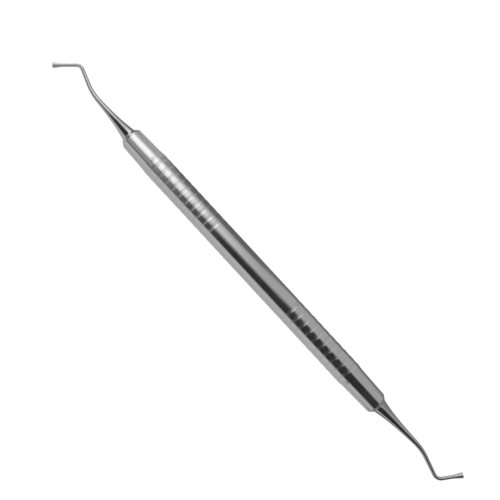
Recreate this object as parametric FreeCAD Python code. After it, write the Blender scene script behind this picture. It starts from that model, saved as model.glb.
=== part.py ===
import FreeCAD, Part

import math
import os
from dataclasses import dataclass

# Double-ended dental plugger: a hollow turned handle with a bent, flared working end pressed into each end.
#
# Sizes are in millimetres. X runs along the handle from the small end to the large end, Y is the side to
# which the large tip points, and Z is up. The origin is on the handle's axis, midway between the two
# grooved grips. Both working ends are bent in the XY plane, and the instrument lies at rest in that plane.

# Handle: its diameter, the places of its two end faces, and the tapered stretch at each end
HANDLE_DIA = 8.0
SMALL_FACE_X = -53.7
LARGE_FACE_X = 55.3
SHOULDER_X = 43.3
SHOULDER_LENGTH = 0.9
SHOULDER_DROP = 0.28
END_TAPER = 0.30
END_CHAMFER_LENGTH = 1.1
END_CHAMFER_DROP = 0.80
END_EASE = 0.6
END_DIA_AT_SHOULDER = HANDLE_DIA - 2 * SHOULDER_DROP
END_DIA_AT_CHAMFER = END_DIA_AT_SHOULDER - 2 * END_TAPER
END_FACE_DIA = END_DIA_AT_CHAMFER - 2 * END_CHAMFER_DROP

# Grip grooves: rings cut round the handle, the same number on each side of the bare middle
GROOVES_PER_SIDE = 10
FIRST_GROOVE_X = 16.65
GROOVE_PITCH = 2.705
GROOVE_MOUTH = 1.10
GROOVE_DEPTH = 0.17

# Bore: a seat for a tang at each end, and a wider hollow between them
SEAT_LIP = 0.52
SEAT_DEPTH = 12.0
SEAT_DIA = END_FACE_DIA - 2 * SEAT_LIP
HANDLE_WALL = 1.2
HOLLOW_DIA = HANDLE_DIA - 2 * HANDLE_WALL
HOLLOW_TAPER = 1.4

# Working ends: sizes that both share
TANG_LENGTH = 11.0
TANG_CHAMFER = 0.4
CONE_TRIM = 0.3
CONE_STEPS = 3
RIM_EASE = 0.10

# Directions and places that the turning works with
ORIGIN = FreeCAD.Vector(0, 0, 0)
X_AXIS = FreeCAD.Vector(1, 0, 0)
FULL_TURN = 360


@dataclass(frozen=True)
class WorkingEnd:
    """Sizes of one working end, measured outward from the handle's end face.

    Attributes:
        face_x: Place of the handle's end face.
        outward: Direction away from the handle, +1 or -1 along X.
        side: Side to which a positive heading or offset goes, +1 or -1 along Y.
        offset: How far the cone's base stands off the handle's axis.
        runs: Lengths of the three straight runs, measured between their crossing points.
        headings: Directions of the runs in degrees from the handle's axis.
        bend_radii: Centreline radii of the gentle first bend and of the corner.
        base_margin: How much smaller in radius the cone's base is than the handle's end face.
        taper_length: Distance over which the cone loses about two thirds of its thickness.
        neck_dia: Diameter of the neck at the first bend.
        wire_dia: Diameter at the corner and beyond it.
        flare_length: Length of the flare behind the working face.
        working_dia: Diameter of the flat working face, before its rim is eased.
    """

    face_x: float
    outward: int
    side: int
    offset: float
    runs: tuple
    headings: tuple
    bend_radii: tuple
    base_margin: float
    taper_length: float
    neck_dia: float
    wire_dia: float
    flare_length: float
    working_dia: float


SMALL_END = WorkingEnd(
    face_x=SMALL_FACE_X,
    outward=-1,
    side=1,
    offset=0.07,
    runs=(16.8, 9.0, 8.35),
    headings=(1.6, 20.9, -47.3),
    bend_radii=(17.0, 1.9),
    base_margin=0.26,
    taper_length=8.0,
    neck_dia=1.36,
    wire_dia=1.00,
    flare_length=2.6,
    working_dia=1.72,
)

LARGE_END = WorkingEnd(
    face_x=LARGE_FACE_X,
    outward=1,
    side=-1,
    offset=-0.20,
    runs=(18.3, 10.1, 7.9),
    headings=(-1.9, 16.9, -56.3),
    bend_radii=(18.0, 2.2),
    base_margin=0.20,
    taper_length=9.0,
    neck_dia=1.40,
    wire_dia=1.00,
    flare_length=2.9,
    working_dia=1.72,
)


def eased_outline(corners):
    """Joins corners in the XY plane into a closed wire, cutting off those that have an ease.

    Args:
        corners: Triples of x, y and ease, in order round the outline. The ease is the distance from the
            corner at which the flat that cuts it off begins and ends.

    Returns:
        A closed wire of straight lines.
    """
    points = [FreeCAD.Vector(x, y, 0) for x, y, _ in corners]
    following = points[1:] + points[:1]
    outline = []
    for index, (corner, after) in enumerate(zip(points, following)):
        ease = corners[index][2]
        if ease > 0:
            back = (points[index - 1] - corner).normalize()
            forward = (after - corner).normalize()
            outline += [corner + back * ease, corner + forward * ease]
        else:
            outline.append(corner)
    return Part.makePolygon(outline + outline[:1])


def turned(corners, start=ORIGIN, direction=X_AXIS):
    """Turns a half section about its X axis, as on a lathe, and stands the result where it belongs.

    Args:
        corners: Triples of x, radius from the axis and ease, in order round the half section.
        start: Place of the half section's origin.
        direction: Direction of the half section's X axis.

    Returns:
        The turned solid.
    """
    solid = Part.Face(eased_outline(corners)).revolve(ORIGIN, X_AXIS, FULL_TURN)
    solid.Placement = FreeCAD.Placement(start, FreeCAD.Rotation(X_AXIS, direction))
    return solid


def groove_corners(centre):
    """Gives the corners of one grip groove, from low X to high X.

    Args:
        centre: Place of the groove's middle along the handle.

    Returns:
        The groove's three corners as triples of x, radius from the axis and ease.
    """
    surface = HANDLE_DIA / 2
    return [
        (centre - GROOVE_MOUTH / 2, surface, 0),
        (centre, surface - GROOVE_DEPTH, 0),
        (centre + GROOVE_MOUTH / 2, surface, 0),
    ]


def handle_end_corners(face_x, outward):
    """Gives the outline of one tapered handle end, from the shoulder out to the end face.

    Args:
        face_x: Place of the end face.
        outward: Direction away from the handle's middle, +1 or -1 along X.

    Returns:
        Corners as triples of x, radius from the axis and ease.
    """
    return [
        (outward * (SHOULDER_X - SHOULDER_LENGTH / 2), HANDLE_DIA / 2, 0),
        (outward * (SHOULDER_X + SHOULDER_LENGTH / 2), END_DIA_AT_SHOULDER / 2, 0),
        (face_x - outward * END_CHAMFER_LENGTH, END_DIA_AT_CHAMFER / 2, END_EASE),
        (face_x, END_FACE_DIA / 2, 0),
    ]


def bore_corners(face_x, outward):
    """Gives the outline of one end of the bore, from the end face inwards to the hollow.

    Args:
        face_x: Place of the end face.
        outward: Direction away from the handle's middle, +1 or -1 along X.

    Returns:
        Corners as triples of x, radius from the axis and ease.
    """
    seat_end = face_x - outward * SEAT_DEPTH
    return [
        (face_x, SEAT_DIA / 2, 0),
        (seat_end, SEAT_DIA / 2, 0),
        (seat_end - outward * HOLLOW_TAPER, HOLLOW_DIA / 2, 0),
    ]


def make_handle():
    """Turns the handle from one half section, with its grooves outside and its bore inside.

    Returns:
        The handle as one solid.
    """
    grooves = [FIRST_GROOVE_X + GROOVE_PITCH * index for index in range(GROOVES_PER_SIDE)]
    outside = handle_end_corners(SMALL_FACE_X, -1)[::-1]
    for centre in reversed(grooves):
        outside += groove_corners(-centre)
    for centre in grooves:
        outside += groove_corners(centre)
    outside += handle_end_corners(LARGE_FACE_X, 1)
    inside = bore_corners(LARGE_FACE_X, 1) + bore_corners(SMALL_FACE_X, -1)[::-1]
    return turned(outside + inside)


def centreline(end):
    """Lays the centreline of a working end: three straight runs joined by two arcs.

    Args:
        end: The working end.

    Returns:
        The centreline as a list of five edges, in order from the handle.
    """
    angles = [math.radians(heading) for heading in end.headings]
    directions = [FreeCAD.Vector(end.outward * math.cos(a), end.side * math.sin(a), 0) for a in angles]
    start = FreeCAD.Vector(end.face_x, end.side * end.offset, 0)
    corner = start
    edges = []
    for index, radius in enumerate(end.bend_radii):
        corner = corner + directions[index] * end.runs[index]
        half_turn = directions[index].getAngle(directions[index + 1]) / 2
        tangent_length = radius * math.tan(half_turn)
        to_middle = radius / math.cos(half_turn) - radius
        bend_start = corner - directions[index] * tangent_length
        bend_end = corner + directions[index + 1] * tangent_length
        inside = (directions[index + 1] - directions[index]).normalize()
        edges.append(Part.makeLine(start, bend_start))
        edges.append(Part.Arc(bend_start, corner + inside * to_middle, bend_end).toShape())
        start = bend_end
    edges.append(Part.makeLine(start, corner + directions[-1] * end.runs[-1]))
    return edges


def make_tang(end):
    """Turns the tang, which fills the seat in the handle and has a chamfer to lead it in.

    Args:
        end: The working end.

    Returns:
        The tang as one solid.
    """
    corners = [
        (0, 0, 0),
        (0, SEAT_DIA / 2, 0),
        (TANG_LENGTH - TANG_CHAMFER, SEAT_DIA / 2, 0),
        (TANG_LENGTH, SEAT_DIA / 2 - TANG_CHAMFER, 0),
        (TANG_LENGTH, 0, 0),
    ]
    return turned(corners, X_AXIS * end.face_x, X_AXIS * -end.outward)


def cone_side_corners(end, base_radius, length):
    """Gives the cone's hollow side, which thins fast at its base and ever more slowly towards the neck.

    Args:
        end: The working end.
        base_radius: Radius of the cone's base.
        length: Length of the cone.

    Returns:
        Corners from the base to the neck as triples of x, radius from the axis and ease.
    """
    neck_radius = end.neck_dia / 2
    left_at_neck = math.exp(-length / end.taper_length)
    corners = []
    for step in range(CONE_STEPS + 1):
        distance = length * step / CONE_STEPS
        left = (math.exp(-distance / end.taper_length) - left_at_neck) / (1 - left_at_neck)
        corners.append((distance, neck_radius + (base_radius - neck_radius) * left, 0))
    return corners


def make_cone(end, run):
    """Turns the hollow-sided cone, and trims its slightly tilted base flush with the end face.

    Args:
        end: The working end.
        run: The first straight run of the centreline.

    Returns:
        The cone as one solid.
    """
    base_radius = END_FACE_DIA / 2 - end.base_margin
    corners = [
        (-CONE_TRIM, 0, 0),
        (-CONE_TRIM, base_radius, 0),
        *cone_side_corners(end, base_radius, run.Length),
        (run.Length, 0, 0),
    ]
    cone = turned(corners, run.valueAt(run.FirstParameter), run.tangentAt(run.FirstParameter))
    inside_handle = Part.makeCylinder(HANDLE_DIA, TANG_LENGTH, X_AXIS * end.face_x, X_AXIS * -end.outward)
    return cone.cut(inside_handle)


def make_bend(dia, arc):
    """Bends a round wire, by revolving its section about the bend's centre.

    Args:
        dia: Diameter of the wire.
        arc: The bend's stretch of the centreline.

    Returns:
        The bend as one solid.
    """
    start = arc.valueAt(arc.FirstParameter)
    direction = arc.tangentAt(arc.FirstParameter)
    section = Part.Face(Part.Wire(Part.Circle(start, direction, dia / 2).toShape()))
    turn = math.degrees(direction.getAngle(arc.tangentAt(arc.LastParameter)))
    centre = arc.Curve.Center
    axis = (start - centre).cross(direction).normalize()
    return section.revolve(centre, axis, turn)


def make_stem(end, run):
    """Makes the stem, which thins evenly from the neck to the wire.

    Args:
        end: The working end.
        run: The second straight run of the centreline.

    Returns:
        The stem as one solid.
    """
    start = run.valueAt(run.FirstParameter)
    direction = run.tangentAt(run.FirstParameter)
    return Part.makeCone(end.neck_dia / 2, end.wire_dia / 2, run.Length, start, direction)


def make_tip(end, run):
    """Turns the straight tip: wire, flare and flat working face with an eased rim.

    Args:
        end: The working end.
        run: The last straight run of the centreline.

    Returns:
        The tip as one solid.
    """
    corners = [
        (0, 0, 0),
        (0, end.wire_dia / 2, 0),
        (run.Length - end.flare_length, end.wire_dia / 2, 0),
        (run.Length, end.working_dia / 2, RIM_EASE),
        (run.Length, 0, 0),
    ]
    return turned(corners, run.valueAt(run.FirstParameter), run.tangentAt(run.FirstParameter))


def make_working_end(end):
    """Makes one working end: tang, hollow-sided cone, two bends and flared tip, joined in one piece.

    Args:
        end: The working end.

    Returns:
        The working end as one solid.
    """
    cone_run, first_bend, stem_run, corner, tip_run = centreline(end)
    stretches = [
        make_cone(end, cone_run),
        make_bend(end.neck_dia, first_bend),
        make_stem(end, stem_run),
        make_bend(end.wire_dia, corner),
        make_tip(end, tip_run),
    ]
    return make_tang(end).multiFuse(stretches).removeSplitter()


def main():
    """Makes each piece and writes it to its own STEP file."""
    os.makedirs("parts", exist_ok=True)
    pieces = {
        "handle": make_handle(),
        "small_working_end": make_working_end(SMALL_END),
        "large_working_end": make_working_end(LARGE_END),
    }
    for name, shape in pieces.items():
        shape.exportStep(f"parts/{name}.step")


main()
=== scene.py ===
"""Looks of a double-ended dental plugger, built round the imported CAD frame.

The handle is turned from satin steel, with twenty ring grooves. A polished, bent and flared working end is
pressed into each end of it. Lengths are in metres and the frame is the CAD one: X runs along the handle from
the small end to the large end, Y is the side to which the large tip points, and Z is up.
"""

import logging
import math
from dataclasses import dataclass
from enum import Enum

import bpy
from bpy.types import Material, Node, NodeSocket, NodeTree, Object
from mathutils import Matrix, Vector


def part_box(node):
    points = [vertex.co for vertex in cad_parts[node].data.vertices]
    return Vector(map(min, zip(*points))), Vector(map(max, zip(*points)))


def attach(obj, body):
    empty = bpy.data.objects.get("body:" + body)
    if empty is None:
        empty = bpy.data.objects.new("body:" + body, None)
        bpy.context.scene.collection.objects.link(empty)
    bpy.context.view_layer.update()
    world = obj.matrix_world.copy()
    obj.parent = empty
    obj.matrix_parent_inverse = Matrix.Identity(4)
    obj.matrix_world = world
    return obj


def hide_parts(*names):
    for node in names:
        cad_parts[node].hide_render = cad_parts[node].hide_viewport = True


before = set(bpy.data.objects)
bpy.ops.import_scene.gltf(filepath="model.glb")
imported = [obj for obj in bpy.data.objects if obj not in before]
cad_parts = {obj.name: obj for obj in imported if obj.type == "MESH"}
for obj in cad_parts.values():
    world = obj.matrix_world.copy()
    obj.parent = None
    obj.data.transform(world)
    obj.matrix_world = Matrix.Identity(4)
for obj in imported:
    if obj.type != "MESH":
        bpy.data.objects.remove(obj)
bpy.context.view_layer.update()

MM = 0.001
MARKS_UV = "marks"
WEAR_ATTRIBUTE = "wear"
# The matt attribute roughens the steel and also carries the painted shade in the grooves
MATT_ATTRIBUTE = "matt"
HANDLE_AXIS = Vector((1.0, 0.0, 0.0))
DOWN = Vector((0.0, 0.0, -1.0))
WHITE = (1.0, 1.0, 1.0, 1.0)
NONE_TO_ALL = (0.0, 1.0)
ALL_TO_NONE = (1.0, 0.0)

# Shortest flat of a turned outline that gets supporting points, in their distances from its ends
SHORTEST_FLAT = 4

log = logging.getLogger("dental_plugger")

# What a node's input gets: the socket that feeds it, or a constant
Value = NodeSocket | float | tuple[float, ...]
Inputs = dict[str | int, Value]
Span = tuple[float, float]

# Places and directions along a centreline, in order from the handle
Line = list[tuple[Vector, Vector]]


class Lay(Enum):
    """Direction in which the last tool left its fine marks."""

    ROUND = "round the axis, as turning leaves them"
    ALONG = "along the wire, as hand polishing leaves them"


@dataclass(frozen=True)
class Corner:
    """One corner of a turned outline.

    Attributes:
        along: Place along the axis.
        radius: Distance from the axis.
        blend: Distance from the corner at which its rounding begins and ends.
        wear: How much the rounding is brightened by handling, from 0 to 1.
        matt: How little polishing reaches the corner, from 0 to 1, which also sets how much painted shade
            darkens it.
    """

    along: float
    radius: float
    blend: float = 0.0
    wear: float = 0.0
    matt: float = 0.0

    def spot(self) -> Vector:
        """Gives the corner's place in the plane of the outline."""
        return Vector((self.along, self.radius))


@dataclass(frozen=True)
class Ring:
    """One ring of vertices round an axis.

    Attributes:
        centre: Middle of the ring.
        across: Direction in the ring's plane from which the angle is counted.
        up: Second direction in the ring's plane, square to the first.
        radius: Radius of the ring.
        distance: Distance along the surface, for the fine marks.
        wear: Share of handling wear, from 0 to 1.
        matt: How little polishing reaches it, from 0 to 1, which also sets how much painted shade darkens
            it.
    """

    centre: Vector
    across: Vector
    up: Vector
    radius: float
    distance: float
    wear: float = 0.0
    matt: float = 0.0


def rounded_corner(before: Corner, corner: Corner, after: Corner, steps: int) -> list[Corner]:
    """Rounds one corner of an outline.

    Args:
        before: The corner before it.
        corner: The corner.
        after: The corner after it.
        steps: Number of steps in the rounding.

    Returns:
        The points of the rounding, none of them with a blend.
    """
    spot = corner.spot()
    back = (before.spot() - spot).normalized()
    ahead = (after.spot() - spot).normalized()
    start = spot + back * corner.blend
    end = spot + ahead * corner.blend
    pull = math.sin(back.angle(ahead) / 2)
    points: list[Corner] = []
    for step in range(steps + 1):
        share = step / steps
        weights = ((1 - share) ** 2, 2 * share * (1 - share) * pull, share**2)
        place = (start * weights[0] + spot * weights[1] + end * weights[2]) / sum(weights)
        points.append(Corner(place.x, place.y, 0.0, corner.wear, corner.matt))
    return points


def support_points(last: Corner, following: Corner, support: float) -> list[Corner]:
    """Gives the supporting points of one flat stretch, which keep its shading flat.

    Args:
        last: The point at which the flat begins.
        following: The corner towards which it runs.
        support: Distance of each supporting point from the flat's end.

    Returns:
        Two points, or none on a short flat.
    """
    start = last.spot()
    end = following.spot()
    end += (start - end).normalized() * following.blend
    flat = end - start
    if flat.length < support * SHORTEST_FLAT:
        return []
    step = flat.normalized() * support
    places = (start + step, end - step)
    return [Corner(place.x, place.y, matt=min(last.matt, following.matt)) for place in places]


def rounded_outline(corners: list[Corner], arc_steps: int, support: float) -> list[Corner]:
    """Rounds the corners of a turned outline and adds supporting points beside them.

    Args:
        corners: The outline's corners in order.
        arc_steps: Number of steps in each rounding.
        support: Distance from a rounding at which a long flat gets a supporting point.

    Returns:
        The outline's points in order, none of them with a blend.
    """
    points = [corners[0]]
    for before, corner, after in zip(corners, corners[1:], corners[2:]):
        points += support_points(points[-1], corner, support)
        points += rounded_corner(before, corner, after, arc_steps)
    points += support_points(points[-1], corners[-1], support)
    return [*points, corners[-1]]


def outline_rings(outline: list[Corner], direction: Vector, across: Vector) -> list[Ring]:
    """Turns an outline's points into rings about a straight axis through the origin.

    Args:
        outline: The rounded outline.
        direction: Direction of the axis.
        across: Direction square to the axis from which angles are counted.

    Returns:
        The rings in order.
    """
    up = direction.cross(across)
    rings: list[Ring] = []
    distance = 0.0
    spot = outline[0].spot()
    for point in outline:
        distance += (point.spot() - spot).length
        spot = point.spot()
        centre = direction * point.along
        rings.append(Ring(centre, across, up, point.radius, distance, point.wear, point.matt))
    return rings


def ring_mesh(name: str, rings: list[Ring], sides: int) -> Object:
    """Builds a smooth surface through rings, where a ring of no radius is a single vertex.

    Args:
        name: Name of the new object.
        rings: The rings in order.
        sides: Number of vertices in each ring.

    Returns:
        The new object, linked to the scene.
    """
    vertices: list[Vector] = []
    wear: list[float] = []
    matt: list[float] = []
    starts: list[int] = []
    for ring in rings:
        starts.append(len(vertices))
        count = sides if ring.radius > 0 else 1
        for side in range(count):
            angle = math.tau * side / sides
            out = ring.across * math.cos(angle) + ring.up * math.sin(angle)
            vertices.append(ring.centre + out * ring.radius)
        wear += [ring.wear] * count
        matt += [ring.matt] * count
    faces: list[tuple[int, ...]] = []
    marks: list[float] = []
    side_width = max(ring.radius for ring in rings) * math.tau / sides
    for index, (ring, after) in enumerate(zip(rings, rings[1:])):
        for side in range(sides):
            near = (side, (side + 1) % sides)
            corners = [(starts[index] + near[0], side, ring)]
            if after.radius > 0:
                corners.append((starts[index + 1] + near[0], side, after))
                corners.append((starts[index + 1] + near[1], side + 1, after))
            else:
                corners.append((starts[index + 1], side, after))
            if ring.radius > 0:
                corners.append((starts[index] + near[1], side + 1, ring))
            faces.append(tuple(corner[0] for corner in corners))
            for _, step, at_ring in corners:
                marks += [side_width * step / MM, at_ring.distance / MM]
    mesh = bpy.data.meshes.new(name)
    mesh.from_pydata([tuple(vertex) for vertex in vertices], [], faces)
    mesh.uv_layers.new(name=MARKS_UV).data.foreach_set("uv", marks)
    for attribute, values in ((WEAR_ATTRIBUTE, wear), (MATT_ATTRIBUTE, matt)):
        mesh.attributes.new(attribute, "FLOAT", "POINT").data.foreach_set("value", values)
    mesh.shade_smooth()
    mesh.update()
    piece = bpy.data.objects.new(name, mesh)
    bpy.context.scene.collection.objects.link(piece)
    return piece


def new_group(name: str, inputs: dict[str, str], output: str) -> NodeTree:
    """Makes an empty shader node group with its sockets.

    Args:
        name: Name of the group.
        inputs: Socket type of each input by name.
        output: Name of its one output, a number.

    Returns:
        The group's node tree, with its input and output nodes named "in" and "out".
    """
    tree = bpy.data.node_groups.new(name, "ShaderNodeTree")
    for label, kind in inputs.items():
        tree.interface.new_socket(label, in_out="INPUT", socket_type=kind)
    tree.interface.new_socket(output, in_out="OUTPUT", socket_type="NodeSocketFloat")
    tree.nodes.new("NodeGroupInput").name = "in"
    tree.nodes.new("NodeGroupOutput").name = "out"
    return tree


def feed(node: Node, inputs: Inputs) -> None:
    """Fills a node's inputs.

    Args:
        node: The node.
        inputs: What each input gets, by the input's name or number.
    """
    for key, value in inputs.items():
        if isinstance(value, NodeSocket):
            node.id_data.links.new(value, node.inputs[key])
        else:
            node.inputs[key].default_value = value


def add_node(tree: NodeTree, kind: str, inputs: Inputs | None = None, **settings: object) -> Node:
    """Adds a node to a tree.

    Args:
        tree: The tree.
        kind: Type of the node.
        inputs: What each input gets, by the input's name or number.
        settings: The node's own settings, which are made before its inputs are filled.

    Returns:
        The node.
    """
    node = tree.nodes.new(kind)
    for setting, value in settings.items():
        setattr(node, setting, value)
    feed(node, inputs or {})
    return node


def add_group(tree: NodeTree, group: NodeTree, inputs: Inputs) -> NodeSocket:
    """Places a shared group in a tree.

    Args:
        tree: The material's tree.
        group: The shared group.
        inputs: What each of its inputs gets.

    Returns:
        The group's one output.
    """
    return add_node(tree, "ShaderNodeGroup", inputs, node_tree=group).outputs[0]


def add_math(tree: NodeTree, operation: str, first: Value, second: Value) -> NodeSocket:
    """Adds a math node to a tree.

    Args:
        tree: The tree.
        operation: Name of the operation.
        first: A socket or a number.
        second: A socket or a number.

    Returns:
        The node's output.
    """
    return add_node(tree, "ShaderNodeMath", {0: first, 1: second}, operation=operation).outputs[0]


def add_sum(tree: NodeTree, terms: list[tuple[NodeSocket, float]]) -> NodeSocket:
    """Adds the nodes that sum up several sockets.

    Args:
        tree: The tree.
        terms: Each socket with its weight.

    Returns:
        The sum.
    """
    products = [add_math(tree, "MULTIPLY", value, weight) for value, weight in terms]
    total = products[0]
    for product in products[1:]:
        total = add_math(tree, "ADD", total, product)
    return total


def add_map(tree: NodeTree, value: NodeSocket, source: Span, target: Span) -> NodeSocket:
    """Adds a clamped, smooth Map Range node to a tree.

    Args:
        tree: The tree.
        value: The socket that is mapped.
        source: Range from which it is mapped.
        target: Range to which it is mapped.

    Returns:
        The node's output.
    """
    names = ("From Min", "From Max", "To Min", "To Max")
    inputs = {"Value": value, **dict(zip(names, (*source, *target)))}
    return add_node(tree, "ShaderNodeMapRange", inputs, interpolation_type="SMOOTHSTEP").outputs["Result"]


@dataclass(frozen=True)
class FineMarks:
    """The fine parallel marks that a tool leaves, as a group from stretched mark coordinates to a height.

    Attributes:
        detail: How many finer layers the noise has.
        roughness: Strength of the finer layers.
    """

    detail: float = 3.0
    roughness: float = 0.6

    def group(self) -> NodeTree:
        """Builds the shared group."""
        sockets = {"Vector": "NodeSocketVector", "Stretch": "NodeSocketVector"}
        tree = new_group("fine_marks", sockets, "Height")
        source = tree.nodes["in"].outputs
        vectors = {0: source["Vector"], 1: source["Stretch"]}
        layers = {
            "Vector": add_node(tree, "ShaderNodeVectorMath", vectors, operation="MULTIPLY").outputs[0],
            "Scale": 1.0,
            "Detail": self.detail,
            "Roughness": self.roughness,
        }
        noise = add_node(tree, "ShaderNodeTexNoise", layers)
        feed(tree.nodes["out"], {"Height": noise.outputs["Fac"]})
        return tree


@dataclass(frozen=True)
class Scratches:
    """Sparse, thin scratches from use in two crossing directions, as a group to a mask.

    Attributes:
        slants: The two directions, in radians.
        shift: How far the second set is moved from the first, in millimetres.
        fineness: Scratches in a millimetre across them.
        shortness: Scratches in a millimetre along them.
        detail: How many finer layers the noise has.
        edge: Levels of the noise between which a scratch begins.
    """

    slants: tuple[float, float] = (0.35, -0.9)
    shift: float = 17.0
    fineness: float = 9.0
    shortness: float = 0.35
    detail: float = 1.0
    edge: tuple[float, float] = (0.70, 0.76)

    def group(self) -> NodeTree:
        """Builds the shared group."""
        tree = new_group("hairline_scratches", {"Vector": "NodeSocketVector"}, "Mask")
        masks = []
        for index, slant in enumerate(self.slants):
            turning = {
                "Vector": tree.nodes["in"].outputs["Vector"],
                "Location": (self.shift * index, self.shift * index, 0.0),
                "Rotation": (0.0, 0.0, slant),
                "Scale": (self.fineness, self.shortness, 1.0),
            }
            turned = add_node(tree, "ShaderNodeMapping", turning).outputs["Vector"]
            layers = {"Vector": turned, "Scale": 1.0, "Detail": self.detail}
            noise = add_node(tree, "ShaderNodeTexNoise", layers)
            masks.append(add_map(tree, noise.outputs["Fac"], self.edge, NONE_TO_ALL))
        feed(tree.nodes["out"], {"Mask": add_math(tree, "MAXIMUM", *masks)})
        return tree


@dataclass(frozen=True)
class Clouds:
    """Soft cloudy patches, for the haze that fingers leave and for slight waviness, as a group to a mask.

    Attributes:
        detail: How many finer layers the noise has.
        roughness: Strength of the finer layers.
        edge: Levels of the noise between which a patch begins.
    """

    detail: float = 4.0
    roughness: float = 0.55
    edge: tuple[float, float] = (0.36, 0.64)

    def group(self) -> NodeTree:
        """Builds the shared group."""
        sockets = {"Vector": "NodeSocketVector", "Patch": "NodeSocketFloat"}
        tree = new_group("soft_clouds", sockets, "Mask")
        source = tree.nodes["in"].outputs
        layers = {
            "Vector": source["Vector"],
            "Scale": add_math(tree, "DIVIDE", 1.0, source["Patch"]),
            "Detail": self.detail,
            "Roughness": self.roughness,
        }
        noise = add_node(tree, "ShaderNodeTexNoise", layers)
        feed(tree.nodes["out"], {"Mask": add_map(tree, noise.outputs["Fac"], self.edge, NONE_TO_ALL)})
        return tree


@dataclass(frozen=True)
class SteelFinish:
    """One finish of the stainless steel.

    Attributes:
        name: Name of the material.
        tint: Colour of clean metal, linear.
        painted_shade_tint: Colour of the painted shade in the grooves and in the low parts of the fine
            marks, linear.
        roughness: Roughness of clean, polished metal.
        matt_roughness: Roughness that is added where the polishing wheel doesn't reach.
        haze_roughness: Roughness that haze adds.
        scratch_roughness: Roughness that a scratch adds.
        matt_painted_shade: Share of painted shade where the polishing wheel doesn't reach, as in the
            grooves.
        mark_painted_shade: Share of painted shade in the deepest marks.
        lay: Direction of the fine marks.
        mark_spacing: Distance between fine marks, in millimetres.
        mark_length: Length of a fine mark, in millimetres.
        mark_depth: Depth of the fine marks, in millimetres.
        wave_depth: Depth of the slight waviness, in millimetres.
        wave_patch: Size of one wave, in millimetres.
        scratch_depth: Depth of the scratches, in millimetres.
        haze_patch: Size of a patch of haze, in millimetres.
    """

    name: str
    tint: tuple[float, float, float]
    painted_shade_tint: tuple[float, float, float]
    roughness: float
    matt_roughness: float
    haze_roughness: float
    scratch_roughness: float
    matt_painted_shade: float
    mark_painted_shade: float
    lay: Lay
    mark_spacing: float
    mark_length: float
    mark_depth: float
    wave_depth: float
    wave_patch: float
    scratch_depth: float
    haze_patch: float

    def stretch(self) -> tuple[float, float, float]:
        """Gives the scale of the marks round and along the piece."""
        if self.lay is Lay.ROUND:
            return (1 / self.mark_length, 1 / self.mark_spacing, 1.0)
        return (1 / self.mark_spacing, 1 / self.mark_length, 1.0)

    def material(self, effects: dict[str, NodeTree]) -> Material:
        """Builds the finish's material.

        Args:
            effects: The shared node groups by name.

        Returns:
            The material.
        """
        made = bpy.data.materials.new(self.name)
        made.use_nodes = True
        tree = made.node_tree
        uv = add_node(tree, "ShaderNodeUVMap", uv_map=MARKS_UV).outputs["UV"]
        scaling = {0: add_node(tree, "ShaderNodeTexCoord").outputs["Object"], "Scale": 1 / MM}
        in_mm = add_node(tree, "ShaderNodeVectorMath", scaling, operation="SCALE").outputs[0]
        height = add_group(tree, effects["fine_marks"], {"Vector": uv, "Stretch": self.stretch()})
        scratches = add_group(tree, effects["scratches"], {"Vector": uv})
        haze = add_group(tree, effects["clouds"], {"Vector": in_mm, "Patch": self.haze_patch})
        waves = add_group(tree, effects["clouds"], {"Vector": in_mm, "Patch": self.wave_patch})
        matt = add_node(tree, "ShaderNodeAttribute", attribute_name=MATT_ATTRIBUTE).outputs["Fac"]
        wear = add_node(tree, "ShaderNodeAttribute", attribute_name=WEAR_ATTRIBUTE).outputs["Fac"]

        added = [
            (haze, self.haze_roughness),
            (scratches, self.scratch_roughness),
            (matt, self.matt_roughness),
        ]
        depths = [(height, self.mark_depth), (scratches, -self.scratch_depth), (waves, self.wave_depth)]
        relief = {"Strength": 1.0, "Distance": MM, "Height": add_sum(tree, depths)}
        surface = {
            "Metallic": 1.0,
            "Base Color": self.colour(tree, height, matt, wear),
            "Roughness": add_math(tree, "ADD", add_sum(tree, added), self.roughness),
            "Normal": add_node(tree, "ShaderNodeBump", relief).outputs["Normal"],
        }
        feed(tree.nodes["Principled BSDF"], surface)
        return made

    def colour(self, tree: NodeTree, height: NodeSocket, matt: NodeSocket, wear: NodeSocket) -> NodeSocket:
        """Adds the colour, from clean metal to painted shade in the low parts of the marks and in the
        grooves.

        Args:
            tree: The material's tree.
            height: Height of the fine marks.
            matt: How little polishing reaches the place, which also sets painted shade.
            wear: Share of wear.

        Returns:
            The colour.
        """
        # Painted shade: the low parts of the fine marks and the matt grooves are darkened towards a darker
        # grey, and wear takes it off again
        low = add_math(tree, "SUBTRACT", 1.0, height)
        painted_shade = add_sum(tree, [(low, self.mark_painted_shade), (matt, self.matt_painted_shade)])
        share = add_math(tree, "SUBTRACT", painted_shade, wear)
        share.node.use_clamp = True
        colours = {"A": (*self.tint, 1.0), "B": (*self.painted_shade_tint, 1.0), "Factor": share}
        return add_node(tree, "ShaderNodeMix", colours, data_type="RGBA").outputs["Result"]


# This finish paints shade into the grooves and into the low parts of the fine marks, as a darker grey mixed
# into its colour
SATIN_TURNED = SteelFinish(
    name="satin_turned_steel",
    tint=(0.65, 0.65, 0.65),
    painted_shade_tint=(0.36, 0.36, 0.36),
    roughness=0.13,
    matt_roughness=0.11,
    haze_roughness=0.05,
    scratch_roughness=0.06,
    matt_painted_shade=0.06,
    mark_painted_shade=0.20,
    lay=Lay.ROUND,
    mark_spacing=0.12,
    mark_length=9.0,
    mark_depth=0.0012,
    wave_depth=0.004,
    wave_patch=1.4,
    scratch_depth=0.0006,
    haze_patch=6.0,
)

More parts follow.
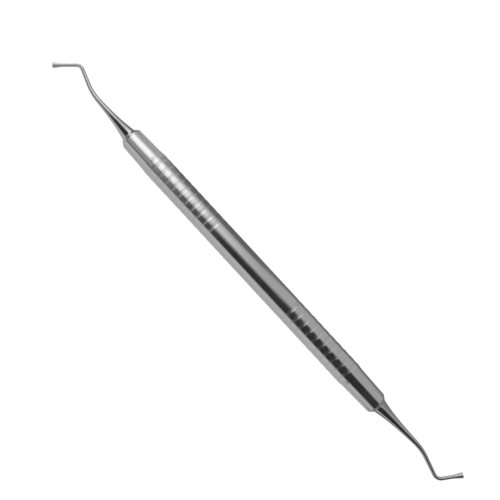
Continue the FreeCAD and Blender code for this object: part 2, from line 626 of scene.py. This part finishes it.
# This finish paints shade only into the low parts of its fine marks, as a darker grey mixed into its colour
HAND_POLISHED = SteelFinish(
    name="hand_polished_steel",
    tint=(0.62, 0.62, 0.62),
    painted_shade_tint=(0.45, 0.45, 0.45),
    roughness=0.12,
    matt_roughness=0.28,
    haze_roughness=0.05,
    scratch_roughness=0.06,
    matt_painted_shade=0.0,
    mark_painted_shade=0.15,
    lay=Lay.ALONG,
    mark_spacing=0.10,
    mark_length=3.0,
    mark_depth=0.0010,
    wave_depth=0.002,
    wave_patch=0.8,
    scratch_depth=0.0004,
    haze_patch=2.5,
)


@dataclass
class Piece:
    """One separate piece of the instrument, which stands for one CAD node.

    Attributes:
        name: Name of the visible piece.
        node: The CAD node for which it stands.
        slot: The record's material slot, which is not used.
        finish: Its material.
    """

    name: str
    node: str
    slot: str
    finish: Material

    def shape(self) -> Object:
        """Builds the piece's mesh."""
        raise NotImplementedError

    def build(self) -> None:
        """Builds the piece, gives it its finish and puts it in the CAD node's place."""
        piece = self.shape()
        piece.data.materials.append(self.finish)
        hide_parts(self.node)
        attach(piece, "root")
        log.info("%s stands for %s with %d faces", self.name, self.node, len(piece.data.polygons))


@dataclass
class Handle(Piece):
    """The turned handle: two grooved grips, a bare middle and a tapered stretch at each end.

    Each size that ends in blend is the distance from an edge at which its rounding begins and ends.

    Attributes:
        small_face_x: Place of the small end's face.
        large_face_x: Place of the large end's face.
        radius: Radius of the lands.
        sides: Number of vertices round the handle.
        shoulder_x: Distance from the origin to the middle of each shoulder.
        end_taper: How much the radius shrinks from a shoulder to its chamfer.
        polish_skew: How far polishing slants the inner edge of each chamfer.
        steep_wall: Width of a groove's wall on the low X side.
        gentle_wall: Width of its wall on the high X side.
        support: Distance from a rounding at which a long flat gets a supporting point.
    """

    small_face_x: float
    large_face_x: float
    radius: float
    sides: int = 128
    shoulder_x: float = 43.1 * MM
    shoulder_length: float = 1.8 * MM
    shoulder_drop: float = 0.21 * MM
    shoulder_blend: float = 0.50 * MM
    end_taper: float = 0.29 * MM
    chamfer_length: float = 1.1 * MM
    chamfer_drop: float = 0.85 * MM
    chamfer_blend: float = 0.12 * MM
    polish_skew: float = 0.32 * MM
    face_blend: float = 0.03 * MM
    seat_lip: float = 0.52 * MM
    grooves_per_side: int = 10
    first_groove_x: float = 16.65 * MM
    groove_pitch: float = 2.705 * MM
    groove_mouth: float = 1.10 * MM
    steep_wall: float = 0.08 * MM
    gentle_wall: float = 0.36 * MM
    groove_depth: float = 0.06 * MM
    steep_blend: float = 0.02 * MM
    gentle_blend: float = 0.09 * MM
    edge_wear: float = 0.10
    arc_steps: int = 5
    support: float = 0.05 * MM

    def groove(self, centre: float) -> list[Corner]:
        """Gives the corners of one grip groove, from low X to high X.

        Args:
            centre: Place of the groove's middle.

        Returns:
            The four corners.
        """
        floor = self.radius - self.groove_depth
        low = centre - self.groove_mouth / 2
        high = centre + self.groove_mouth / 2
        # The walls and floor are matt, which roughens them and also darkens them with painted shade
        return [
            Corner(low, self.radius, self.steep_blend, self.edge_wear),
            Corner(low + self.steep_wall, floor, self.steep_blend, matt=1.0),
            Corner(high - self.gentle_wall, floor, self.gentle_blend, matt=1.0),
            Corner(high, self.radius, self.gentle_blend, self.edge_wear),
        ]

    def end(self, face_x: float, outward: int) -> list[Corner]:
        """Gives the corners of one handle end, from the shoulder out to the edge of the seat.

        Args:
            face_x: Place of the end face.
            outward: Direction away from the handle's middle, +1 or -1 along X.

        Returns:
            The corners.
        """
        half_shoulder = self.shoulder_length / 2
        after_shoulder = self.radius - self.shoulder_drop
        before_chamfer = after_shoulder - self.end_taper
        face_radius = before_chamfer - self.chamfer_drop
        return [
            Corner(outward * (self.shoulder_x - half_shoulder), self.radius, self.shoulder_blend),
            Corner(outward * (self.shoulder_x + half_shoulder), after_shoulder, self.shoulder_blend),
            Corner(face_x - outward * self.chamfer_length, before_chamfer, self.chamfer_blend),
            Corner(face_x, face_radius, self.face_blend),
            Corner(face_x, face_radius - self.seat_lip),
        ]

    def outline(self) -> list[Corner]:
        """Gives the handle's rounded outline from the small end to the large end."""
        places = [self.first_groove_x + self.groove_pitch * index for index in range(self.grooves_per_side)]
        corners = self.end(self.small_face_x, -1)[::-1]
        for centre in reversed(places):
            corners += self.groove(-centre)
        for centre in places:
            corners += self.groove(centre)
        corners += self.end(self.large_face_x, 1)
        return rounded_outline(corners, self.arc_steps, self.support)

    def skew_chamfers(self, piece: Object) -> None:
        """Slants the chamfers' inner edges a little, as hand polishing leaves them.

        Args:
            piece: The handle's object.
        """
        reach = self.chamfer_length + self.chamfer_blend
        for vertex in piece.data.vertices:
            place = vertex.co
            to_face = min(place.x - self.small_face_x, self.large_face_x - place.x)
            # The slant grows from the face to the inner edge, and fades again over the same length
            rise = (to_face - self.face_blend) / reach
            fall = 2 - rise
            share = max(0.0, min(1.0, rise, fall))
            place.x -= self.polish_skew * share * place.y / self.radius

    def shape(self) -> Object:
        """Builds the handle's mesh."""
        piece = ring_mesh(self.name, outline_rings(self.outline(), HANDLE_AXIS, DOWN), self.sides)
        self.skew_chamfers(piece)
        return piece


@dataclass
class WorkingEnd(Piece):
    """One working end: hollow-sided cone, gentle bend, stem, corner and flared tip.

    Attributes:
        face_x: Place of the handle's end face.
        outward: Direction away from the handle, +1 or -1 along X.
        side: Side to which a positive heading or offset goes, +1 or -1 along Y.
        offset: How far the cone's base stands off the handle's axis.
        runs: Lengths of the three straight runs, measured between their crossing points.
        headings: Directions of the runs in degrees from the handle's axis.
        bend_radii: Centreline radii of the gentle first bend and of the corner.
        base_radius: Radius of the cone at the handle's end face.
        taper_length: Distance over which the cone loses about two thirds of its extra radius.
        wire_radius: Radius at the corner and beyond it.
        flare_length: Length of the flare behind the working face.
        face_radius: Radius of the working face.
        matt_from: Distance along the centreline at which the polish begins to fade.
        matt_full: Distance along the centreline from which the wire is matt.
        flare_softness: How softly the flare begins.
        rim_blend: Radius of the working face's rounded rim.
        foot_depth: How far the edge of the cone's base is broken.
        sides: Number of vertices round the wire.
        step: Distance between rings along the centreline.
        rim_steps: Number of steps in the rounded rim.
        face_rings: Radii of the rings across the working face, as shares of its flat part.
    """

    face_x: float
    outward: int
    side: int
    offset: float
    runs: tuple[float, float, float]
    headings: tuple[float, float, float]
    bend_radii: tuple[float, float]
    base_radius: float
    taper_length: float
    wire_radius: float
    flare_length: float
    face_radius: float
    matt_from: float
    matt_full: float
    flare_softness: float = 0.30 * MM
    rim_blend: float = 0.12 * MM
    foot_depth: float = 0.01 * MM
    sides: int = 56
    step: float = 0.25 * MM
    rim_steps: int = 5
    face_rings: tuple[float, ...] = (0.9, 0.45, 0.0)

    def directions(self) -> list[Vector]:
        """Gives the directions of the three straight runs."""
        angles = [math.radians(heading) for heading in self.headings]
        return [Vector((self.outward * math.cos(a), self.side * math.sin(a), 0.0)) for a in angles]

    def centreline(self) -> Line:
        """Gives places and directions along the centreline, about one step apart."""
        directions = self.directions()
        place = Vector((self.face_x, self.side * self.offset, 0.0))
        line: Line = [(place, directions[0])]
        used = 0.0
        for run, radius, before, after in zip(self.runs, self.bend_radii, directions, directions[1:]):
            turn = before.angle(after)
            tangent_length = radius * math.tan(turn / 2)
            line += self.straight(line[-1][0], before, run - used - tangent_length)
            line += self.arc(line[-1][0], before, after, radius, turn)
            used = tangent_length
        line += self.straight(line[-1][0], directions[-1], self.runs[-1] - used)
        return line

    def straight(self, start: Vector, direction: Vector, length: float) -> Line:
        """Gives the steps of one straight run after its start.

        Args:
            start: Where the run starts.
            direction: Its direction.
            length: Its length.

        Returns:
            The steps.
        """
        count = math.ceil(length / self.step)
        return [(start + direction * length * (index + 1) / count, direction) for index in range(count)]

    def arc(self, start: Vector, before: Vector, after: Vector, radius: float, turn: float) -> Line:
        """Gives the steps of one bend after its start.

        Args:
            start: Where the bend starts.
            before: Direction in which it starts.
            after: Direction in which it ends.
            radius: Its centreline radius.
            turn: Its angle in radians.

        Returns:
            The steps.
        """
        inward = (after - before * before.dot(after)).normalized()
        count = math.ceil(radius * turn / self.step)
        steps: Line = []
        for index in range(count):
            angle = turn * (index + 1) / count
            place = start + before * radius * math.sin(angle) + inward * radius * (1 - math.cos(angle))
            steps.append((place, before * math.cos(angle) + inward * math.sin(angle)))
        return steps

    def radius_at(self, distance: float, total: float) -> float:
        """Gives the radius at a distance along the centreline.

        Args:
            distance: Distance from the handle's end face.
            total: Length of the whole centreline.

        Returns:
            The radius there.
        """
        thin_at = total - self.flare_length
        extra = self.base_radius - self.wire_radius
        share = math.exp(-distance / self.taper_length)
        share -= math.exp(-thin_at / self.taper_length) * distance / thin_at
        beyond = distance - thin_at
        slope = (self.face_radius - self.wire_radius) / self.flare_length
        soft = (beyond + math.hypot(beyond, self.flare_softness)) / 2
        return self.wire_radius + extra * max(0.0, share) + slope * soft

    def rings(self) -> list[Ring]:
        """Gives the rings of the whole working end, closed by its flat working face."""
        line = self.centreline()
        lengths = [0.0, *((after[0] - before[0]).length for before, after in zip(line, line[1:]))]
        total = sum(lengths)
        rings: list[Ring] = []
        distance = 0.0
        for (place, direction), length in zip(line, lengths):
            distance += length
            if distance > total - self.rim_blend:
                break
            radius = self.radius_at(distance, total)
            matt = (distance - self.matt_from) / (self.matt_full - self.matt_from)
            matt = min(1.0, max(0.0, matt))
            rings.append(Ring(place, DOWN, direction.cross(DOWN), radius, distance, matt=matt))
        rings[:1] = self.foot(rings[0], rings[1])
        return rings + self.face(*line[-1], total)

    def face(self, place: Vector, direction: Vector, total: float) -> list[Ring]:
        """Gives the rings of the rounded rim and the flat working face.

        Args:
            place: Middle of the working face.
            direction: Direction in which it faces.
            total: Distance of the face along the centreline.

        Returns:
            The rings, the last of them a point.
        """
        up = direction.cross(DOWN)
        flat_radius = self.face_radius - self.rim_blend
        rings: list[Ring] = []
        for step in range(self.rim_steps + 1):
            angle = math.pi / 2 * step / self.rim_steps
            back = self.rim_blend * (1 - math.sin(angle))
            radius = flat_radius + self.rim_blend * math.cos(angle)
            rings.append(Ring(place - direction * back, DOWN, up, radius, total - back, matt=1.0))
        for share in self.face_rings:
            reached = total + flat_radius * (1 - share)
            rings.append(Ring(place, DOWN, up, flat_radius * share, reached, matt=1.0))
        return rings

    def foot(self, base: Ring, after: Ring) -> list[Ring]:
        """Sets the cone's base flat against the end face, with its edge just broken.

        Args:
            base: The first ring of the cone.
            after: The ring after it.

        Returns:
            The three rings that stand in its place, the last of them to keep the cone's shading straight.
        """
        out = Vector((float(self.outward), 0.0, 0.0))
        up = out.cross(base.across)
        slope = (base.radius - after.radius) / after.distance
        support = 2 * self.foot_depth
        radius = base.radius - slope * support
        return [
            Ring(base.centre, base.across, up, base.radius - self.foot_depth, 0.0),
            Ring(base.centre + out * self.foot_depth, base.across, up, base.radius, self.foot_depth),
            Ring(base.centre + out * support, base.across, up, radius, support),
        ]

    def shape(self) -> Object:
        """Builds the working end's mesh."""
        return ring_mesh(self.name, self.rings(), self.sides)


@dataclass(frozen=True)
class Card:
    """A studio card or softbox that shows only in reflections, with its lengths in millimetres.

    Attributes:
        name: Name of the card.
        reach: Distance of its middle from the handle's axis.
        along: Shift of its middle along its length.
        length: Its length, along the handle before it is turned.
        width: Its width, across its length.
        level: Its brightness, where 1 is white.
        feather: Widths of the soft edges at low X, high X, low Y and high Y of the card, as shares of it.
        tilt: Direction to its middle in degrees from straight up, positive towards +Y before it is turned.
        adds: Whether it adds to what is behind it, as a spill of light does.
        across: Shift of its middle to +Y before it is turned.
        turn: Turn about the upright axis in degrees.
    """

    name: str
    reach: float
    along: float
    length: float
    width: float
    level: float
    feather: tuple[float, float, float, float]
    tilt: float = 0.0
    adds: bool = False
    across: float = 0.0
    turn: float = 0.0

    def placing(self) -> Matrix:
        """Gives the card's place, with its face towards the handle's axis."""
        turned = Matrix.Rotation(math.radians(self.turn), 4, "Z")
        shifted = Matrix.Translation((self.along * MM, self.across * MM, 0.0))
        tilted = Matrix.Rotation(-math.radians(self.tilt), 4, "X")
        return turned @ shifted @ tilted @ Matrix.Translation((0.0, 0.0, self.reach * MM))

    def mask(self, tree: NodeTree) -> NodeSocket:
        """Adds the soft edges.

        Args:
            tree: The card's tree.

        Returns:
            The mask, 1 in the card's middle.
        """
        place = add_node(tree, "ShaderNodeTexCoord").outputs["Generated"]
        axes = add_node(tree, "ShaderNodeSeparateXYZ", {0: place}).outputs
        masks = []
        for axis, (low, high) in (("X", self.feather[:2]), ("Y", self.feather[2:])):
            rise = add_map(tree, axes[axis], (0.0, low), NONE_TO_ALL)
            fall = add_map(tree, axes[axis], (1.0 - high, 1.0), ALL_TO_NONE)
            masks.append(add_math(tree, "MULTIPLY", rise, fall))
        return add_math(tree, "MULTIPLY", *masks)

    def material(self) -> Material:
        """Builds the card's material."""
        made = bpy.data.materials.new(self.name)
        made.use_nodes = True
        tree = made.node_tree
        tree.nodes.clear()
        mask = self.mask(tree)
        clear = add_node(tree, "ShaderNodeBsdfTransparent").outputs[0]
        strength = add_math(tree, "MULTIPLY", mask, self.level) if self.adds else self.level
        glow = add_node(tree, "ShaderNodeEmission", {"Strength": strength}).outputs[0]
        if self.adds:
            join = add_node(tree, "ShaderNodeAddShader", {0: clear, 1: glow})
        else:
            join = add_node(tree, "ShaderNodeMixShader", {"Fac": mask, 1: clear, 2: glow})
        add_node(tree, "ShaderNodeOutputMaterial", {"Surface": join.outputs[0]})
        return made

    def build(self) -> None:
        """Builds the card, which neither shows itself nor casts a shadow."""
        card = flat_sheet(self.name, self.length * MM, self.width * MM, self.material())
        card.matrix_world = self.placing()
        card.visible_camera = False
        card.visible_diffuse = False
        card.visible_shadow = False
        card.visible_transmission = False


# Cards over the handle and its cones
CARDS_ABOVE = (
    Card(
        name="overhead_flag",
        tilt=-19.0, reach=300, along=-25,
        length=870, width=486,
        level=0.028, feather=(0.02, 0.02, 0.20, 0.335),
    ),
    Card(
        name="right_flag",
        tilt=8.0, reach=290, along=184,
        length=300, width=246,
        level=0.028, feather=(0.03, 0.03, 0.05, 0.38),
    ),
    Card(
        name="left_cone_flag",
        tilt=-16.0, reach=285, along=-325,
        length=290, width=640,
        level=0.010, feather=(0.05, 0.15, 0.25, 0.15),
    ),
    Card(
        name="right_cone_flag",
        tilt=-35.0, reach=270, along=300,
        length=270, width=560,
        level=0.02, feather=(0.15, 0.05, 0.25, 0.30),
    ),
    Card(
        name="right_grey_card",
        tilt=70.0, reach=280, along=310,
        length=260, width=270,
        level=0.30, feather=(0.20, 0.05, 0.05, 0.20),
    ),
)

# Softboxes and spills of light, which add to what is behind them
SPILLS = (
    Card(
        name="main_softbox",
        tilt=26.5, reach=280, along=-123.5,
        length=183, width=532,
        level=0.74, feather=(0.20, 0.37, 0.26, 0.44), adds=True,
    ),
    Card(
        name="wide_softbox",
        tilt=19.0, reach=275, along=-77.5,
        length=185, width=680,
        level=0.30, feather=(0.10, 0.24, 0.60, 0.40), adds=True,
    ),
    Card(
        name="left_spill",
        tilt=-19.0, reach=265, along=-112.5,
        length=185, width=330,
        level=0.38, feather=(0.18, 0.63, 0.30, 0.36), adds=True,
    ),
    Card(
        name="left_end_fill",
        tilt=48.0, reach=290, along=-247,
        length=165, width=308,
        level=0.20, feather=(0.10, 0.10, 0.35, 0.30), adds=True,
    ),
    Card(
        name="flag_gap",
        tilt=-11.5, reach=260, along=150,
        length=240, width=43,
        level=0.03, feather=(0.25, 0.25, 0.50, 0.50), adds=True,
    ),
)

# Cards that stand past the ends and at the side
CARDS_BESIDE = (
    Card(
        name="left_end_softbox",
        tilt=74.0, reach=370, along=190,
        length=340, width=270,
        level=1.60, feather=(0.20, 0.20, 0.02, 0.02), turn=90.0,
    ),
    Card(
        name="left_end_card",
        tilt=74.0, reach=380, along=-145,
        length=310, width=270,
        level=0.18, feather=(0.10, 0.10, 0.02, 0.02), turn=90.0,
    ),
    Card(
        name="right_end_flag",
        tilt=78.0, reach=370, along=80,
        length=320, width=260,
        level=0.03, feather=(0.08, 0.10, 0.02, 0.02), turn=-90.0,
    ),
    Card(
        name="low_dark_card",
        tilt=84.0, reach=150, along=-34,
        length=112, width=75,
        level=0.17, feather=(0.27, 0.25, 0.60, 0.05),
    ),
)

# Cards that lie just over the floor and show only in the steel; the two dark ones on the +Y side beside the
# handle are a painted shadow of the handle on the floor
CARDS_BELOW = (
    Card(
        name="right_end_floor_flag", reach=-3.85, along=260,
        length=320, width=85,
        level=0.03, feather=(0.12, 0.05, 0.20, 0.12), across=-37.5,
    ),
    Card(
        name="right_end_floor_card", reach=-3.75, along=228,
        length=342, width=100,
        level=0.28, feather=(0.02, 0.05, 0.08, 0.20), across=53,
    ),
    Card(
        name="left_end_floor_card", reach=-3.85, along=-245,
        length=310, width=120,
        level=0.22, feather=(0.05, 0.10, 0.20, 0.05), across=-63,
    ),
    Card(
        name="left_cone_floor_card", reach=-3.8, along=-73,
        length=34, width=38,
        level=0.17, feather=(0.30, 0.08, 0.05, 0.20), across=21,
    ),
    Card(
        name="right_cone_floor_card", reach=-3.8, along=89,
        length=64, width=60,
        level=0.26, feather=(0.05, 0.30, 0.20, 0.03), across=-32,
    ),
    Card(
        name="left_floor_glow", reach=-3.7, along=-240,
        length=300, width=120,
        level=1.5, feather=(0.10, 0.08, 0.08, 0.30), across=66,
    ),
    # Painted shadow: a dark sheet on the +Y side, where the handle's shadow falls on the floor
    Card(
        name="left_floor_painted_shadow", reach=-3.9, along=-15,
        length=70, width=146,
        level=0.17, feather=(0.20, 0.30, 0.01, 0.02), across=77,
    ),
    # Painted shadow: a dark sheet on the +Y side, where the handle's shadow falls on the floor
    Card(
        name="right_floor_painted_shadow", reach=-3.8, along=37,
        length=76, width=22,
        level=0.20, feather=(0.10, 0.10, 0.02, 0.80), across=15,
    ),
)


def flat_sheet(name: str, length: float, width: float, material: Material) -> Object:
    """Builds a flat sheet of the studio, which isn't part of the instrument.

    Args:
        name: Name of the sheet.
        length: Its length along its own X axis.
        width: Its width along its own Y axis.
        material: Its material.

    Returns:
        The sheet's object.
    """
    sides = ((-1, -1), (1, -1), (1, 1), (-1, 1))
    corners = [(x * length / 2, y * width / 2, 0.0) for x, y in sides]
    mesh = bpy.data.meshes.new(name)
    mesh.from_pydata(corners, [], [(0, 1, 2, 3)])
    mesh.materials.append(material)
    sheet = bpy.data.objects.new(name, mesh)
    bpy.context.scene.collection.objects.link(sheet)
    return sheet


@dataclass
class Studio:
    """The white floor, the plain white surroundings, the cards and the camera.

    Attributes:
        floor_z: Height of the floor, on which the handle lies.
        view_centre: Where the camera looks, in the plane of the handle's axis.
        floor_size: Length and width of the floor.
        floor_white: Brightness that the floor shows by itself.
        floor_grey: Colour of the matt floor that takes the shadow.
        shadow_share: How much of the matt floor shows.
        camera_height: Height of the camera over the handle's axis.
        view_width: Width of what the camera sees in the plane of the handle's axis.
        view_turn: Turn of the camera about the upright axis in degrees.
        sensor: Width of the camera's sensor in millimetres.
        nearest_view: Distance at which the camera's view begins.
        north_grey: Brightness of the surroundings in the steel, on the +Y side.
        south_grey: The same on the -Y side.
        south_floor_grey: Brightness of the floor in the steel, on the -Y side.
        floor_turnover: Half the width over which the floor changes from one grey to the other.
        world_turnover: The same for the surroundings, as a share of the direction's length.
        white: Brightness of the surroundings as light.
    """

    floor_z: float
    view_centre: tuple[float, float, float] = (-4.468 * MM, 3.395 * MM, 0.0)
    floor_size: float = 6.0
    floor_white: float = 1.16
    floor_grey: float = 0.8
    shadow_share: float = 0.22
    camera_height: float = 190 * MM
    view_width: float = 148.6 * MM
    view_turn: float = 47.27
    sensor: float = 36.0
    nearest_view: float = 10 * MM
    north_grey: float = 0.53
    south_grey: float = 0.65
    south_floor_grey: float = 0.58
    floor_turnover: float = 5 * MM
    world_turnover: float = 0.3
    white: float = 1.0

    def grey_by_side(self, tree: NodeTree, coordinates: str, turnover: float, south: float) -> NodeSocket:
        """Adds the grey that the steel reflects, which differs from the -Y side to the +Y side.

        Args:
            tree: The tree.
            coordinates: Name of the coordinates in which the side is told.
            turnover: Half the width of the change, in those coordinates.
            south: Grey on the -Y side.

        Returns:
            The grey.
        """
        place = add_node(tree, "ShaderNodeTexCoord").outputs[coordinates]
        side = add_node(tree, "ShaderNodeSeparateXYZ", {0: place}).outputs["Y"]
        return add_map(tree, side, (-turnover, turnover), (south, self.north_grey))

    def floor_material(self) -> Material:
        """Builds the floor's material: white to the eye, with a faint shadow, and grey in the steel.

        Returns:
            The material.
        """
        made = bpy.data.materials.new("white_floor")
        made.use_nodes = True
        tree = made.node_tree
        tree.nodes.clear()
        grey = (self.floor_grey, self.floor_grey, self.floor_grey, 1.0)
        matt = add_node(tree, "ShaderNodeBsdfDiffuse", {"Color": grey}).outputs[0]
        glow = add_node(tree, "ShaderNodeEmission", {"Strength": self.floor_white}).outputs[0]
        to_the_eye = {"Fac": self.shadow_share, 1: glow, 2: matt}
        level = self.grey_by_side(tree, "Object", self.floor_turnover, self.south_floor_grey)
        seen = {
            "Fac": add_node(tree, "ShaderNodeLightPath").outputs["Is Glossy Ray"],
            1: add_node(tree, "ShaderNodeMixShader", to_the_eye).outputs[0],
            2: add_node(tree, "ShaderNodeEmission", {"Strength": level}).outputs[0],
        }
        surface = add_node(tree, "ShaderNodeMixShader", seen).outputs[0]
        add_node(tree, "ShaderNodeOutputMaterial", {"Surface": surface})
        return made

    def build_floor(self) -> None:
        """Builds the floor on which the handle lies."""
        floor = flat_sheet("floor", self.floor_size, self.floor_size, self.floor_material())
        floor.location.z = self.floor_z

    def build_world(self) -> None:
        """Builds the white surroundings, which the steel reflects as a plain grey."""
        world = bpy.data.worlds.new("white_studio")
        bpy.context.scene.world = world
        world.use_nodes = True
        tree = world.node_tree
        tree.nodes.clear()
        glossy = add_node(tree, "ShaderNodeLightPath").outputs["Is Glossy Ray"]
        grey = self.grey_by_side(tree, "Generated", self.world_turnover, self.south_grey)
        lift = add_math(tree, "MULTIPLY", add_math(tree, "SUBTRACT", grey, self.white), glossy)
        light = {"Color": WHITE, "Strength": add_math(tree, "ADD", lift, self.white)}
        glow = add_node(tree, "ShaderNodeBackground", light).outputs[0]
        add_node(tree, "ShaderNodeOutputWorld", {"Surface": glow})

    def build_camera(self) -> None:
        """Builds the camera, straight above the middle of the picture."""
        data = bpy.data.cameras.new("photo_camera")
        data.type = "PERSP"
        data.sensor_width = self.sensor
        data.lens = self.sensor * self.camera_height / self.view_width
        data.clip_start = self.nearest_view
        camera = bpy.data.objects.new("photo_camera", data)
        bpy.context.scene.collection.objects.link(camera)
        camera.location = Vector(self.view_centre) + Vector((0.0, 0.0, self.camera_height))
        camera.rotation_euler = (0.0, 0.0, math.radians(self.view_turn))
        bpy.context.scene.camera = camera

    def build(self) -> None:
        """Builds the whole studio."""
        self.build_floor()
        self.build_world()
        self.build_camera()
        for card in (*CARDS_ABOVE, *SPILLS, *CARDS_BESIDE, *CARDS_BELOW):
            card.build()
        bpy.context.scene.view_settings.view_transform = "Standard"


def main() -> None:
    """Builds the instrument's pieces and sets the studio round them."""
    logging.basicConfig(level=logging.INFO, format="%(name)s: %(message)s")
    effects = {
        "fine_marks": FineMarks().group(),
        "scratches": Scratches().group(),
        "clouds": Clouds().group(),
    }
    polished = HAND_POLISHED.material(effects)
    low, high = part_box("handle")
    pieces = (
        Handle(
            name="turned_handle",
            node="handle",
            slot="handle_steel",
            finish=SATIN_TURNED.material(effects),
            small_face_x=low.x,
            large_face_x=high.x,
            radius=high.z,
        ),
        WorkingEnd(
            name="small_plugger",
            node="small_working_end",
            slot="working_end_steel",
            finish=polished,
            face_x=low.x,
            outward=-1,
            side=1,
            offset=0.07 * MM,
            runs=(16.8 * MM, 9.0 * MM, 8.35 * MM),
            headings=(1.6, 20.9, -47.3),
            bend_radii=(17.0 * MM, 1.9 * MM),
            base_radius=2.36 * MM,
            taper_length=7.1 * MM,
            wire_radius=0.51 * MM,
            flare_length=2.6 * MM,
            face_radius=0.86 * MM,
            matt_from=13.0 * MM,
            matt_full=18.0 * MM,
        ),
        WorkingEnd(
            name="large_plugger",
            node="large_working_end",
            slot="working_end_steel",
            finish=polished,
            face_x=high.x,
            outward=1,
            side=-1,
            offset=-0.20 * MM,
            runs=(18.3 * MM, 10.1 * MM, 7.9 * MM),
            headings=(-1.9, 16.9, -56.3),
            bend_radii=(18.0 * MM, 2.2 * MM),
            base_radius=2.42 * MM,
            taper_length=8.0 * MM,
            wire_radius=0.53 * MM,
            flare_length=2.9 * MM,
            face_radius=0.86 * MM,
            matt_from=25.0 * MM,
            matt_full=30.0 * MM,
        ),
    )
    for piece in pieces:
        piece.build()
    Studio(floor_z=low.z).build()


if __name__ == "__main__":
    main()
